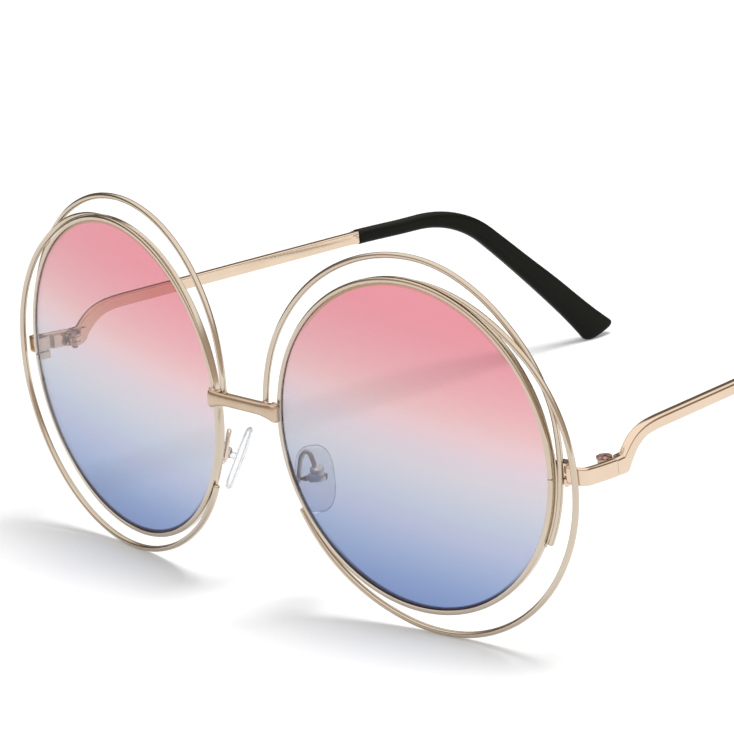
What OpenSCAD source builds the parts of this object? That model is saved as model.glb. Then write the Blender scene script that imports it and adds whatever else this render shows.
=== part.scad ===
// Oversized round sunglasses with two bent wires round each rim.
// Millimetres. +X is the wearer's left, the lenses face -Y, +Z is up.
// They stand as on a table: z = 0 is under the lower wires and the ends of the temple tips.

/* [Lenses] */
// Diameter of each lens, with its bevel
lens_d = 62; // [54:0.5:68]
// Distance between the two lenses at the nose
lens_gap = 17.3; // [15:0.1:22]
// Thickness of a lens
lens_t = 1.2; // [0.8:0.1:1.3]
// Radius of the lens's curved face
lens_curve_r = 230; // [120:5:600]
// How far each lens turns back at its outer side, in degrees
wrap_angle = 7.1; // [3:0.1:10]

/* [Rims] */
// Depth of the rim from front to back
rim_depth = 1.7; // [1.6:0.05:2.4]
// Width of the lip that covers the edge of the lens
rim_lip = 0.4; // [0.3:0.05:0.6]
// Metal outside the lens groove
rim_wall = 0.53; // [0.4:0.01:0.9]
// Width of the cut where the rim opens for the lens
rim_slit = 0.3; // [0.15:0.05:0.6]
// Distance of that cut below the middle of the lens
slit_down = 1.45; // [1.1:0.05:1.8]

/* [Wires] */
// Diameter of the bent wires
wire_d = 1.2; // [0.8:0.05:1.25]
// Largest gap between the rim and the upper wire
upper_gap = 3.1; // [2:0.1:6]
// Largest gap between the rim and the lower wire
lower_gap = 4.55; // [2.5:0.05:7]
// Angle on the rim at which the lower wire starts, in degrees
lower_start_angle = 86; // [75:1:95]
// Angle at which the upper wire ends on the outer side of the rim
upper_end_angle = -26; // [-40:1:-18]

/* [Bridge] */
// Length of the bridge bar
bridge_l = 18.4; // [18:0.1:21]
// Height of the bridge bar in its middle
bridge_h = 2.4; // [1.8:0.1:3.2]
// Depth of the bridge bar from front to back
bridge_t = 1.6; // [1.2:0.1:2.2]
// Height of the bridge bar above the middle of the lenses
bridge_up = 2.8; // [0:0.1:5]
// How far the ends of the bar widen downwards
bridge_flare = 0.75; // [0:0.05:1.5]

/* [End pieces] */
// Thickness of the end piece strip
strip_t = 1.3; // [1:0.05:1.5]
// Height of the end piece strip
strip_h = 3.35; // [3:0.05:4]
// Bend radius of the strip's corner, at the middle of its thickness
strip_bend_r = 1.6; // [1:0.1:2.5]
// Distance of the strip below the middle of the lenses, at the rim
strip_down = 0.35; // [0:0.05:0.8]
// How much lower the strip ends at the hinge
strip_drop = 1.6; // [0:0.05:3]
// Distance from the lenses back to the hinge
hinge_back = 16.2; // [14:0.1:19]
// Straight run of the strip between the closing block and its corner
strip_run = 1.4; // [0.4:0.1:3]

/* [Closing blocks] */
// Width of a closing block outside the rim
block_w = 2.1; // [2:0.05:2.5]
// Depth of a closing block behind the rim
block_depth = 2.2; // [2.1:0.05:2.6]
// Diameter of the closing screw
block_screw_d = 0.7; // [0.5:0.05:0.8]
// Diameter of the closing screw's head
block_head_d = 1.1; // [0.9:0.05:1.15]
// Height of the closing screw's sunk head
block_head_h = 0.6; // [0.3:0.05:0.8]

/* [Hinges] */
// Outer diameter of the hinge knuckles
knuckle_d = 2.5; // [2.3:0.05:2.6]
// Height of the middle knuckle
middle_h = 0.8; // [0.6:0.05:1]
// Height of the upper and of the lower knuckle
outer_h = 0.7; // [0.5:0.05:0.8]
// Thickness of a hinge leaf
leaf_t = 0.7; // [0.5:0.05:0.9]
// Length of the front leaf
front_leaf_l = 4; // [3.2:0.1:4.6]
// Length of the temple leaf
temple_leaf_l = 3.4; // [2.6:0.1:3.5]
// Diameter of the hinge screw
hinge_screw_d = 1.2; // [0.8:0.05:1.4]
// Diameter of the hinge screw's head
hinge_head_d = 2.7; // [2.2:0.05:2.8]
// Height of the hinge screw's head
hinge_head_h = 0.9; // [0.5:0.05:1.2]

/* [Temples] */
// Thickness of the temple bar
temple_t = 1.6; // [1.3:0.05:1.8]
// Height of the temple bar
temple_h = 2; // [1.6:0.05:2.4]
// Length of the metal from the hinge to the tip
temple_l = 71.7; // [60:0.1:85]
// How far the bar rises above the top of the end piece
temple_rise = 3.75; // [2:0.05:5]
// Length over which the bar rises
temple_rise_l = 12.8; // [11:0.1:18]
// Length of the full height at the hinge
temple_foot_l = 3.1; // [3:0.1:4]
// Angle by which the temples run inwards, in degrees
toe_in = 6.3; // [3:0.1:8]
// Angle by which the bar falls towards the ear, in degrees
temple_fall = 1.1; // [0:0.1:2]
// Length of the collar in front of the tip
collar_l = 2.6; // [1.5:0.1:3]
// Height of the collar
collar_h = 2.7; // [2.4:0.05:3]
// Thickness of the collar
collar_t = 2.3; // [2:0.05:2.6]

/* [Tips] */
// Length of the straight part of the tip before its bend
tip_straight_l = 14.4; // [10:0.1:25]
// Radius of the bend over the ear
tip_bend_r = 26; // [18:0.5:32]
// Angle of the bend over the ear, in degrees
tip_bend_angle = 43.3; // [38:0.1:50]
// Thickness of the tip
tip_t = 3; // [2.6:0.05:3.4]
// Height of the tip at its front end
tip_h = 3; // [2.8:0.05:3.4]
// Width of the tip at its rear end
tip_end_w = 7; // [5:0.1:8]
// Rounding of the tip's rear end
tip_round = 1.3; // [0.6:0.1:1.8]
// Diameter of the metal core inside the tip
core_d = 1.2; // [0.8:0.05:1.3]

/* [Nose pads] */
// Length of a nose pad
pad_l = 12.6; // [11:0.1:15]
// Width of a nose pad
pad_w = 7.3; // [6.5:0.1:9]
// Thickness of a nose pad
pad_t = 1.6; // [1.4:0.05:2]
// Distance of a pad's pivot from the middle of the nose
pad_out = 12.4; // [11.8:0.1:13.5]
// Distance of a pad's pivot behind the lenses
pad_back = 1.1; // [0.6:0.1:2.5]
// Distance of a pad's pivot below the middle of the lenses
pad_down = 10.7; // [9:0.1:12]
// Lean of the pads, which stand wider apart at the bottom, in degrees
pad_lean = 24.8; // [15:0.1:32]
// Turn of the pads, which face inwards and back, in degrees
pad_turn = 39.7; // [28:0.1:50]
// Width of the box that holds a pad's lug
box_w = 2.5; // [2.2:0.05:2.8]
// Height of the box below its top wall
box_h = 2.3; // [2.1:0.05:2.8]
// Depth of the box
box_depth = 1.8; // [1.7:0.05:2.2]
// Thickness of the lug behind a pad
lug_t = 1.1; // [0.8:0.05:1.2]
// Diameter of the pad screw
pad_screw_d = 0.7; // [0.5:0.05:0.8]
// Diameter of the wire of a pad arm
arm_d = 0.9; // [0.8:0.05:1.1]
// Height of the arm's loop above its foot
arm_rise = 4.9; // [4.2:0.1:6.5]
// Reach of the arm behind its foot
arm_reach = 4.5; // [3.5:0.1:5.5]
// Angle on the rim at which the arm is fixed, in degrees
arm_foot_angle = 200.5; // [195:0.5:206]

/* [Fits] */
// Radial play of pins and screws that turn
running_fit = 0.05; // [0.02:0.01:0.1]
// Play between brazed or seated pieces
seat_gap = 0.03; // [0.01:0.01:0.05]
// Play between hinge parts that pass each other
pass_gap = 0.12; // [0.08:0.01:0.2]

/* [Hidden] */

gold = "#e2cdb4";
lens_tint = "#c9a2bd";
clear_pad = "#e6ebf0";
tip_black = "#1c1c1c";

// Plain maths
function unit(v) = v / norm(v);
function in_plan(p, angle) = [
    p[0] * cos(angle) - p[1] * sin(angle),
    p[0] * sin(angle) + p[1] * cos(angle)];
function powered(v, p) = sign(v) * pow(abs(v), p);

// Overrun of every cut
cut = 1;
// Faces round a full circle of the exact round pieces
round_fn = 96;
// Faces round a screw, a knuckle and their bores
drum_fn = 48;
// Sides of the bent wires and the steps between two places of their tables
wire_sides = 12;
wire_steps = 4;
// Width and depth of the slot in a screw's head, of the head's diameter and height
slot_width_share = 0.2;
slot_depth_share = 0.4;

// Lenses and rims
lens_r = lens_d / 2;
lens_x = lens_r + lens_gap / 2;
lip_r = lens_r - rim_lip;
rim_r = lens_r + rim_wall;
rim_mid = rim_depth / 2;
bevel_foot_share = 0.35;
bevel_tip_share = 0.1;
bevel_foot = bevel_foot_share * lens_t;
bevel_tip = bevel_tip_share * lens_t;
rim_edge_share = 0.6;
rim_edge = rim_edge_share * rim_wall;
lens_front = rim_mid - lens_t / 2;
lens_steps = 12;

// Bent wires: angle in degrees, share of the largest gap, share of the rim's depth, share of the thickness
wire_r = wire_d / 2;
bridge_top = bridge_up + bridge_h / 2;
foot_gap_share = 0.68;
wire_foot_r = rim_r + wire_r + seat_gap + foot_gap_share * upper_gap;
wire_foot_angle = 180 - asin((bridge_top + 3 * seat_gap) / wire_foot_r);
upper_shares = [
    [wire_foot_angle, foot_gap_share, 0.23, 1], [162, 0.84, 0.5, 1], [150, 0.97, 0.82, 1],
    [130, 1, 1.3, 1], [110, 0.93, 1.65, 1], [90, 0.865, 1.75, 1], [76, 0.8, 1.62, 1],
    [60, 0.63, 1.43, 1], [48, 0.48, 1.35, 1], [34, 0.38, 1.34, 1], [20, 0.28, 1.29, 1],
    [10, 0.135, 1.17, 1], [0, 0.035, 1.05, 1], [-8, 0, 0.97, 1], [upper_end_angle, 0, 0.97, 1]];
lower_shares = [
    [lower_start_angle, 0, 0.42, 0.35], [68, 0, 0.42, 0.75], [50, 0.095, 0.52, 1],
    [34, 0.38, 0.52, 1], [15, 0.71, 0.43, 1], [2, 0.86, 0.37, 1], [-14, 0.98, 0.33, 1],
    [-30, 1, 0.34, 1], [-46, 0.97, 0.39, 1], [-60, 0.89, 0.46, 1], [-75, 0.755, 0.54, 1],
    [-90, 0.555, 0.56, 1], [-105, 0.335, 0.52, 1], [-120, 0.19, 0.46, 1],
    [-135, 0.1, 0.43, 1], [-150, 0, 0.42, 1]];

// Closing blocks, in the lens's own frame
block_in_share = 0.15;
block_low_share = 0.45;
block_axis_share = 0.4;
channel_share = 1.1;
block_in = lip_r + block_in_share * (rim_r - lip_r);
block_front = rim_depth + seat_gap;
block_back = rim_depth + block_depth;
block_high = strip_h / 2 - strip_down;
block_low = -slit_down - block_low_share * strip_h;
channel_back = channel_share * rim_depth + wire_r + pass_gap;
channel_in = rim_r - rim_wall / 2;
channel_out = rim_r + wire_d + 2 * pass_gap;
block_axis = [rim_r + block_axis_share * block_w, (channel_back + block_back) / 2, 0];
block_head_low = block_high - block_head_h;

// Plan of the end piece, which passes behind the lower wire
strip_front_share = 0.4;
strip_front = strip_front_share * rim_depth + wire_r + 2 * pass_gap;
strip_mid = strip_front + strip_t / 2;
strip_start = rim_r + block_w + seat_gap;
strip_from = [lens_x, 0] + in_plan([strip_start, strip_mid], wrap_angle);
strip_turn = 90 + toe_in - wrap_angle;
lens_dir = [cos(wrap_angle), sin(wrap_angle)];
temple_dir = [-sin(toe_in), cos(toe_in)];
outward = [cos(toe_in), sin(toe_in)];
bend_centre = strip_from + strip_run * lens_dir + strip_bend_r * [-lens_dir[1], lens_dir[0]];
// The outer face runs on from the corner to the hinge
strip_face = bend_centre + (strip_bend_r + strip_t / 2) * outward;
hinge_x = strip_face[0] + (hinge_back - strip_face[1]) / temple_dir[1] * temple_dir[0];
hinge_z = -strip_down - strip_drop;

// Hinges: u runs outwards from the outer face, w runs back from the butt joint
knuckle_r = knuckle_d / 2;
hinge_u = -(temple_t + pass_gap + max(knuckle_d, hinge_head_d) / 2);
leaf_rise_share = 0.08;
leaf_z = hinge_z + leaf_rise_share * strip_h;
hinge_screw_r = hinge_screw_d / 2;
middle_top = leaf_z + middle_h / 2;
outer_top = middle_top + pass_gap + outer_h;
outer_low = 2 * leaf_z - outer_top;
web_share = 1.3;
web = web_share * knuckle_r;
dome_share = 0.45;

// Temple profile in w and z
strip_top = hinge_z + strip_h / 2;
strip_low = hinge_z - strip_h / 2;
rise_start_share = 0.7;
foot_drop_share = 0.1;
collar_edge_share = 0.3;
rise_start = rise_start_share * temple_foot_l;
rise_end = rise_start + temple_rise_l;
foot_low = strip_low - foot_drop_share * strip_h;
rise_power = 3;
foot_power = 3.4;
rise_steps = 14;
bar_top = strip_top + temple_rise;
bar_mid = bar_top - temple_h / 2;
collar_z = bar_mid - (temple_l - rise_end) * tan(temple_fall);

// Tips
tip_angle = temple_fall + tip_bend_angle;
tip_arc_l = tip_bend_r * tip_bend_angle * PI / 180;
tip_sides = 16;
tip_corner_power = 0.75;
tip_skew = 28;
tip_grow_power = 4.3;
tip_bend_steps = 6;
tip_leg_shares = [0.2, 0.4, 0.6, 0.75];
tip_front_share = 0.5;
round_angles = [0, 30, 60, 85];
core_sides = 8;
core_bend_steps = 8;
core_end_share = 0.75;
tip_z = collar_z - seat_gap * tan(temple_fall);
tip_start = temple_l + seat_gap;

// Nose pads
pad_pivot = [pad_out, pad_back, -pad_down];
lug_share = 0.42;
neck_share = 1.2;
box_top_share = 0.14;
box_roof_share = 0.18;
pad_mid_share = 0.35;
pad_head_shares = [1.6, 0.6];
lug_r = lug_share * box_depth;
box_top = lug_r + box_top_share * box_h;
box_roof = box_roof_share * box_h;
box_back = lug_r + pass_gap + box_roof;
box_front = box_back - box_depth;
pad_mid = -(box_depth + pad_mid_share * pad_t);
pad_head_d = pad_head_shares[0] * pad_screw_d;
pad_head_h = pad_head_shares[1] * pad_screw_d;
pad_outline_power = 0.85;
pad_sides = 32;
pad_level_shares = [[-0.5, 0.8], [-0.36, 0.93], [0, 1], [0.36, 0.93], [0.5, 0.8]];
arm_r = arm_d / 2;
arm_sides = 10;
arm_steps = 5;
// Route of the arm after its straight foot: shares of the reach, the reach and the rise
arm_foot_share = 0.12;
arm_shares = [[-0.05, 0.25, 0.4], [-0.04, 0.38, 0.79], [0.02, 0.55, 1], [0.2, 0.66, 0.93]];

// A smooth curve through rows of numbers
function blend(a, b, c, d, t) = 0.5 * (2 * b + (c - a) * t
    + (2 * a - 5 * b + 4 * c - d) * t * t + (3 * b - a - 3 * c + d) * t * t * t);
function smooth(rows, steps) = [
    for (i = [0 : len(rows) - 2], j = [0 : steps - 1])
        blend(rows[max(i - 1, 0)], rows[i], rows[i + 1], rows[min(i + 2, len(rows) - 1)], j / steps),
    rows[len(rows) - 1]];

// Rings of points round a path; ref is a direction that the path never takes
function ring_at(p, t, ref, r, sides) =
    let (a = unit(cross(t, ref)), b = cross(a, t))
    [for (k = [0 : sides - 1]) p + r * (cos(360 * k / sides) * a + sin(360 * k / sides) * b)];
function tube_rings(path, ref, radii, sides) = [
    for (i = [0 : len(path) - 1])
        let (next = path[min(i + 1, len(path) - 1)], before = path[max(i - 1, 0)])
        ring_at(path[i], unit(next - before), ref, radii[i], sides)];
function equal(path, r) = [for (p = path) r];

// A closed skin over rings that each have the same number of points
module skin(rings) {
    n = len(rings[0]);
    last = (len(rings) - 1) * n;
    sides = [
        for (i = [0 : len(rings) - 2], k = [0 : n - 1])
            let (a = i * n + k, b = i * n + (k + 1) % n) each [[a, b, b + n], [a, b + n, a + n]]];
    caps = [for (k = [1 : n - 2]) each [[0, k + 1, k], [last, last + k, last + k + 1]]];
    polyhedron(points = [for (ring = rings) each ring], faces = concat(sides, caps), convexity = 8);
}

// Skin of a bent wire in the lens's own frame, where y is depth
function wire_rings(rows, gap) =
    let (places = smooth(rows, wire_steps),
        radii = [for (s = places) min(s[3], 1) * wire_r],
        path = [for (i = [0 : len(places) - 1])
            let (s = places[i], r = rim_r + seat_gap + radii[i] + max(s[1], 0) * gap)
            [r * cos(s[0]), s[2] * rim_depth, r * sin(s[0])]])
    tube_rings(path, [0, 1, 0], radii, wire_sides);
lower_rings = wire_rings(lower_shares, lower_gap);
upper_rings = wire_rings(upper_shares, upper_gap);

// The table lies under the lowest point of the lower wires
table_z = min([for (ring = lower_rings, p = ring) p[2]]);

// Tip: place on its centre line as w, z and angle, after a run from the collar
function tip_place(run) =
    run < tip_straight_l
        ? [tip_start + run * cos(temple_fall), tip_z - run * sin(temple_fall), temple_fall]
    : run < tip_straight_l + tip_arc_l
        ? let (turn = (run - tip_straight_l) / tip_bend_r * 180 / PI, a = temple_fall + turn)
            [tip_start + tip_straight_l * cos(temple_fall) + tip_bend_r * (sin(a) - sin(temple_fall)),
            tip_z - tip_straight_l * sin(temple_fall) - tip_bend_r * (cos(temple_fall) - cos(a)), a]
        : let (far = run - tip_straight_l - tip_arc_l, knee = knee_place())
            [knee[0] + far * cos(tip_angle), knee[1] - far * sin(tip_angle), tip_angle];
function knee_place() = [
    tip_start + tip_straight_l * cos(temple_fall) + tip_bend_r * (sin(tip_angle) - sin(temple_fall)),
    tip_z - tip_straight_l * sin(temple_fall) - tip_bend_r * (cos(temple_fall) - cos(tip_angle))];

// One ring of the tip: half height h, half thickness t, skewed by an angle
function tip_ring(place, h, t, skew) = [
    for (k = [0 : tip_sides - 1])
        let (c = powered(cos(360 * k / tip_sides), tip_corner_power) * h / cos(skew),
            s = powered(sin(360 * k / tip_sides), tip_corner_power) * t,
            a = place[2] - skew)
        [s - temple_t / 2, place[0] + c * sin(a + 2 * skew), place[1] + c * cos(a + 2 * skew)]];
function round_end(place, h, t, a) =
    let (out = tip_round * sin(a), off = tip_round * (1 - cos(a)))
    tip_ring([place[0] + out * cos(place[2]), place[1] - out * sin(place[2]), place[2]],
        h - off, t - off * tip_t / tip_end_w, tip_skew);
tip_end_rings = [for (a = round_angles) round_end([0, 0, tip_angle], tip_end_w / 2, tip_t / 2, a)];
tip_end_low = min([for (ring = tip_end_rings, p = ring) p[2]]);
knee = knee_place();
// The straight leg is as long as it takes to reach the table
tip_leg_l = (knee[1] + tip_end_low - table_z) / sin(tip_angle);
tip_run = tip_straight_l + tip_arc_l + tip_leg_l;
function tip_half(run) = tip_h / 2 + (tip_end_w - tip_h) / 2 * pow(run / tip_run, tip_grow_power);
tip_stations = concat(
    [0, tip_front_share * tip_straight_l],
    [for (i = [0 : tip_bend_steps]) tip_straight_l + tip_arc_l * i / tip_bend_steps],
    [for (share = tip_leg_shares) tip_straight_l + tip_arc_l + tip_leg_l * share]);
tip_rings = concat(
    [for (run = tip_stations) tip_ring(tip_place(run), tip_half(run), tip_t / 2, 0)],
    [for (a = round_angles) round_end(tip_place(tip_run), tip_end_w / 2, tip_t / 2, a)]);

// Centre line of the metal core inside the tip; first and last lengthen its two ends
core_stations = concat(
    [0, tip_front_share * tip_straight_l],
    [for (i = [0 : core_bend_steps]) tip_straight_l + tip_arc_l * i / core_bend_steps],
    [tip_straight_l + tip_arc_l + core_end_share * tip_leg_l]);
function core_path(first, last) = [
    for (i = [0 : len(core_stations) - 1])
        let (p = tip_place(core_stations[i] + (i == len(core_stations) - 1 ? last : 0)))
        [-temple_t / 2, p[0] - (i == 0 ? first : 0), p[1]]];

module core(first, last, r)
    skin(tube_rings(core_path(first, last), [1, 0, 0], equal(core_stations, r), core_sides));

// The object's box is centred on y = 0
nose_y = -sin(wrap_angle) * rim_r - seat_gap;
front_y = nose_y - bridge_t;
rear_y = max([for (ring = tip_rings, p = ring)
    hinge_back + p[0] * sin(toe_in) + p[1] * cos(toe_in)]);
middle_y = (front_y + rear_y) / 2;

module place() translate([0, -middle_y, -table_z]) children();
module left() place() children();
module right() place() mirror([1, 0, 0]) children();
module at_lens() translate([lens_x, 0, 0]) rotate([0, 0, wrap_angle]) children();
module at_hinge() translate([hinge_x, hinge_back, 0]) rotate([0, 0, toe_in]) children();
module at_pad() translate(pad_pivot) rotate([0, -pad_lean, -pad_turn]) children();
// Turns a round profile of radius and depth about the lens's axis
module about_lens() rotate([-90, 0, 0]) rotate_extrude($fn = round_fn) children();
// Turns an outline of y and z so that it is extruded along x
module along_x(length) rotate([90, 0, 90]) linear_extrude(length) children();
module drum(r, low, high) translate([0, 0, low]) cylinder(r = r, h = high - low, $fn = drum_fn);

// Rim with a groove for the bevel of the lens, cut at the closing blocks
module rim() {
    floor_r = lens_r + seat_gap;
    corner = function (a, y) [rim_r - rim_edge + rim_edge * cos(a), y + rim_edge * sin(a)];
    color(gold) at_lens() difference() {
        about_lens() polygon(concat(
            [[lip_r, 0]],
            [for (a = [-90 : 30 : 0]) corner(a, rim_edge)],
            [for (a = [0 : 30 : 90]) corner(a, rim_depth - rim_edge)],
            [[lip_r, rim_depth], [lip_r, rim_mid + bevel_foot + 2 * seat_gap],
            [floor_r, rim_mid + bevel_tip + 2 * seat_gap], [floor_r, rim_mid - bevel_tip - 2 * seat_gap],
            [lip_r, rim_mid - bevel_foot - 2 * seat_gap]]));
        translate([lip_r - cut, -cut, -slit_down - rim_slit / 2])
            cube([rim_r - lip_r + 2 * cut, rim_depth + 2 * cut, rim_slit]);
    }
}

// Curved lens with a bevelled edge
module lens() {
    edge_r = lip_r - seat_gap;
    sag = function (r) sqrt(pow(lens_curve_r, 2) - r * r);
    front = [for (i = [0 : lens_steps])
        let (r = edge_r * i / lens_steps) [r, lens_front + sag(edge_r) - sag(r)]];
    back = [for (i = [lens_steps : -1 : 0]) front[i] + [0, lens_t]];
    bevel = [
        [edge_r, rim_mid - bevel_foot], [lens_r - seat_gap, rim_mid - bevel_tip],
        [lens_r - seat_gap, rim_mid + bevel_tip], [edge_r, rim_mid + bevel_foot]];
    color(lens_tint, 0.6) at_lens() about_lens() polygon(concat(front, bevel, back));
}

module upper_wire() color(gold) at_lens() skin(upper_rings);
module lower_wire() color(gold) at_lens() skin(lower_rings);

// Half of the closing block behind the rim; a channel lets the upper wire pass in front
module block_half(low, high, reach) {
    difference() {
        translate([block_in, block_front, low])
            cube([reach - block_in, block_back - block_front, high - low]);
        translate([channel_in, block_front - cut, low - cut])
            cube([channel_out - channel_in, channel_back - block_front + cut, high - low + 2 * cut]);
        translate(block_axis) drum(block_screw_d / 2 + seat_gap, low - cut, high + cut);
        translate(block_axis) drum(block_head_d / 2 + seat_gap, block_head_low, block_high + cut);
    }
}
module upper_block() color(gold) at_lens()
    block_half(-slit_down + rim_slit / 2, block_high, rim_r + block_w);
module lower_block() color(gold) at_lens()
    block_half(block_low, -slit_down - rim_slit / 2, rim_r + block_w - pass_gap);

// Closing screw through both halves, with its slotted head sunk into the top
module block_screw() {
    slot_w = slot_width_share * block_head_d;
    head_floor = block_head_low + seat_gap;
    color(gold) at_lens() translate(block_axis) difference() {
        union() {
            drum(block_screw_d / 2, block_low, head_floor);
            drum(block_head_d / 2, head_floor, block_high);
        }
        translate([-block_head_d, -slot_w / 2, block_high - slot_depth_share * block_head_h])
            cube([2 * block_head_d, slot_w, block_head_h]);
    }
}

// Half-round bar soldered on the front of both rims
module bridge() {
    half = bridge_l / 2;
    low = bridge_up - bridge_h / 2;
    edge_steps = 12;
    flare_share = 0.45;
    flare = function (s) bridge_flare * pow(max(0, (abs(s) - flare_share) / (1 - flare_share)), 2);
    outline = concat(
        [for (i = [0 : edge_steps]) let (s = 2 * i / edge_steps - 1)
            [s * half, low - flare(s)]],
        [[half, bridge_top], [-half, bridge_top]]);
    // The section is round in front and flat behind
    top_share = 0.59;
    flare_reach_share = 1.3;
    round_power = 0.6;
    reach_up = top_share * bridge_h;
    reach_down = bridge_h / 2 + flare_reach_share * bridge_flare;
    section = concat(
        [for (i = [0 : edge_steps]) let (a = 180 * i / edge_steps - 90)
            [nose_y - bridge_t * pow(cos(a), round_power),
            bridge_up + sin(a) * (a < 0 ? reach_down : reach_up)]]);
    color(gold) place() intersection() {
        translate([0, nose_y, 0]) rotate([90, 0, 0]) linear_extrude(bridge_t + cut) polygon(outline);
        translate([-half - cut, 0, 0]) along_x(bridge_l + 2 * cut) polygon(section);
    }
}

// Strip from the closing block round the corner to the hinge
module end_piece() {
    bend_steps = 8;
    arc = function (r) [for (i = [0 : bend_steps])
        let (a = wrap_angle - 90 + strip_turn * i / bend_steps) bend_centre + r * [cos(a), sin(a)]];
    inner = arc(strip_bend_r - strip_t / 2);
    across = strip_t / 2 * [lens_dir[1], -lens_dir[0]];
    strip_end = [hinge_x, hinge_back] - seat_gap * temple_dir;
    outline = concat(
        [strip_from + across], arc(strip_bend_r + strip_t / 2), [strip_end, strip_end - strip_t * outward],
        [for (i = [bend_steps : -1 : 0]) inner[i]], [strip_from - across]);
    slope_steps = 8;
    slope_start = strip_face[1] - strip_bend_r - strip_t;
    slope = [for (i = [0 : slope_steps]) let (s = pow(i / slope_steps, 2))
        [slope_start + s * (hinge_back - slope_start), -strip_down - strip_drop * sqrt(s)]];
    middle = concat(
        [[strip_from[1] - strip_t, -strip_down]], slope, [[hinge_back + strip_t, hinge_z]]);
    profile = concat(
        [for (p = middle) p - [0, strip_h / 2]],
        [for (i = [len(middle) - 1 : -1 : 0]) middle[i] + [0, strip_h / 2]]);
    color(gold) intersection() {
        translate([0, 0, hinge_z - strip_h]) linear_extrude(strip_drop + 2 * strip_h) polygon(outline);
        translate([lens_x, 0, 0]) along_x(hinge_x) polygon(profile);
    }
}

// One knuckle with the web that joins it to its leaf: from w = 0 to reach, outwards to face
module knuckle(low, high, face, reach, bore_r) {
    difference() {
        union() {
            translate([hinge_u, 0, 0]) drum(knuckle_r, low, high);
            translate([hinge_u, min(0, reach), low]) cube([face - hinge_u, abs(reach), high - low]);
        }
        translate([hinge_u, 0, 0]) drum(bore_r, low - cut, high + cut);
    }
}

// Front leaf: a plate on the strip with an upper and a lower knuckle
module front_leaf() {
    face = -strip_t - seat_gap;
    color(gold) at_hinge() {
        knuckle(outer_top - outer_h, outer_top, face, -web, hinge_screw_r + running_fit);
        knuckle(outer_low, outer_low + outer_h, face, -web, hinge_screw_r + seat_gap);
        translate([face - leaf_t, -front_leaf_l, outer_low])
            cube([leaf_t, front_leaf_l - web, outer_top - outer_low]);
    }
}

// Temple leaf: a plate on the temple with the middle knuckle
module temple_leaf() {
    face = -temple_t - seat_gap;
    color(gold) at_hinge() {
        knuckle(leaf_z - middle_h / 2, middle_top, face, web, hinge_screw_r + running_fit);
        translate([face - leaf_t, web, outer_low])
            cube([leaf_t, temple_leaf_l - web, outer_top - outer_low]);
    }
}

// Hinge screw with a low domed head on top
module hinge_screw() {
    head_low = outer_top + seat_gap;
    slot_w = slot_width_share * hinge_head_d;
    dome = dome_share * hinge_head_h;
    head_r = hinge_head_d / 2;
    color(gold) at_hinge() translate([hinge_u, 0, 0]) difference() {
        union() {
            drum(hinge_screw_r, outer_low, head_low);
            translate([0, 0, head_low]) rotate_extrude($fn = drum_fn) polygon(concat(
                [[0, 0], [head_r, 0], [head_r, hinge_head_h - dome]],
                [for (a = [15 : 15 : 90]) [head_r * cos(a), hinge_head_h - dome + dome * sin(a)]]));
        }
        translate([-hinge_head_d, -slot_w / 2, head_low + (1 - slot_depth_share) * hinge_head_h])
            cube([2 * hinge_head_d, slot_w, hinge_head_h]);
    }
}

// Temple: the tall foot at the hinge, the rise, the straight bar, the collar and the core
module temple() {
    top_edge = [for (i = [0 : rise_steps])
        let (s = pow(i / rise_steps, 2))
        [rise_start + s * temple_rise_l, strip_top + temple_rise * (1 - pow(1 - s, rise_power))]];
    low_end = bar_top - temple_h;
    low_edge = [for (i = [0 : rise_steps])
        let (s = pow(i / rise_steps, 2))
        [temple_foot_l + s * (rise_end - temple_foot_l),
        foot_low + (low_end - foot_low) * (1 - pow(1 - s, foot_power))]];
    bar_l = temple_l - rise_end;
    profile = concat(
        [[seat_gap, strip_top]], top_edge,
        [[temple_l, bar_top - bar_l * tan(temple_fall)], [temple_l, low_end - bar_l * tan(temple_fall)]],
        [for (i = [rise_steps : -1 : 0]) low_edge[i]],
        [[seat_gap, strip_low]]);
    collar_edge = collar_edge_share * collar_l;
    collar = [
        [temple_l - collar_l, temple_h / 2], [temple_l - collar_l + collar_edge, collar_h / 2],
        [temple_l, collar_h / 2], [temple_l, -collar_h / 2],
        [temple_l - collar_l + collar_edge, -collar_h / 2], [temple_l - collar_l, -temple_h / 2]];
    color(gold) at_hinge() {
        translate([-temple_t, 0, 0]) along_x(temple_t) polygon(profile);
        translate([-(temple_t + collar_t) / 2, 0, collar_z]) along_x(collar_t) polygon(collar);
        core(collar_l / 2, 0, core_d / 2);
    }
}

// Plastic tip, hollow for the core
module tip() {
    color(tip_black) at_hinge() difference() {
        skin(tip_rings);
        core(cut, pass_gap, core_d / 2 + running_fit);
    }
}

// Box that holds the lug of the pad, open towards the nose and downwards
module pad_box() {
    color(gold) at_pad() difference() {
        translate([box_front, -box_w / 2, box_top + box_roof - box_h])
            cube([box_depth, box_w, box_h]);
        translate([box_front - cut, -lug_t / 2 - running_fit, box_top - box_h - cut])
            cube([box_depth - box_roof + cut, lug_t + 2 * running_fit, box_h + cut]);
        rotate([90, 0, 0]) drum(pad_screw_d / 2 + seat_gap, -box_w, box_w);
    }
}

// Screw across the box, on which the pad rocks
module pad_screw() {
    half = box_w / 2;
    slot_w = slot_width_share * pad_head_d;
    color(gold) at_pad() rotate([90, 0, 0]) difference() {
        union() {
            drum(pad_screw_d / 2, -half, half + seat_gap);
            drum(pad_head_d / 2, half + seat_gap, half + seat_gap + pad_head_h);
        }
        translate([-pad_head_d, -slot_w / 2, half + seat_gap + (1 - slot_depth_share) * pad_head_h])
            cube([2 * pad_head_d, slot_w, pad_head_h]);
    }
}

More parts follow.
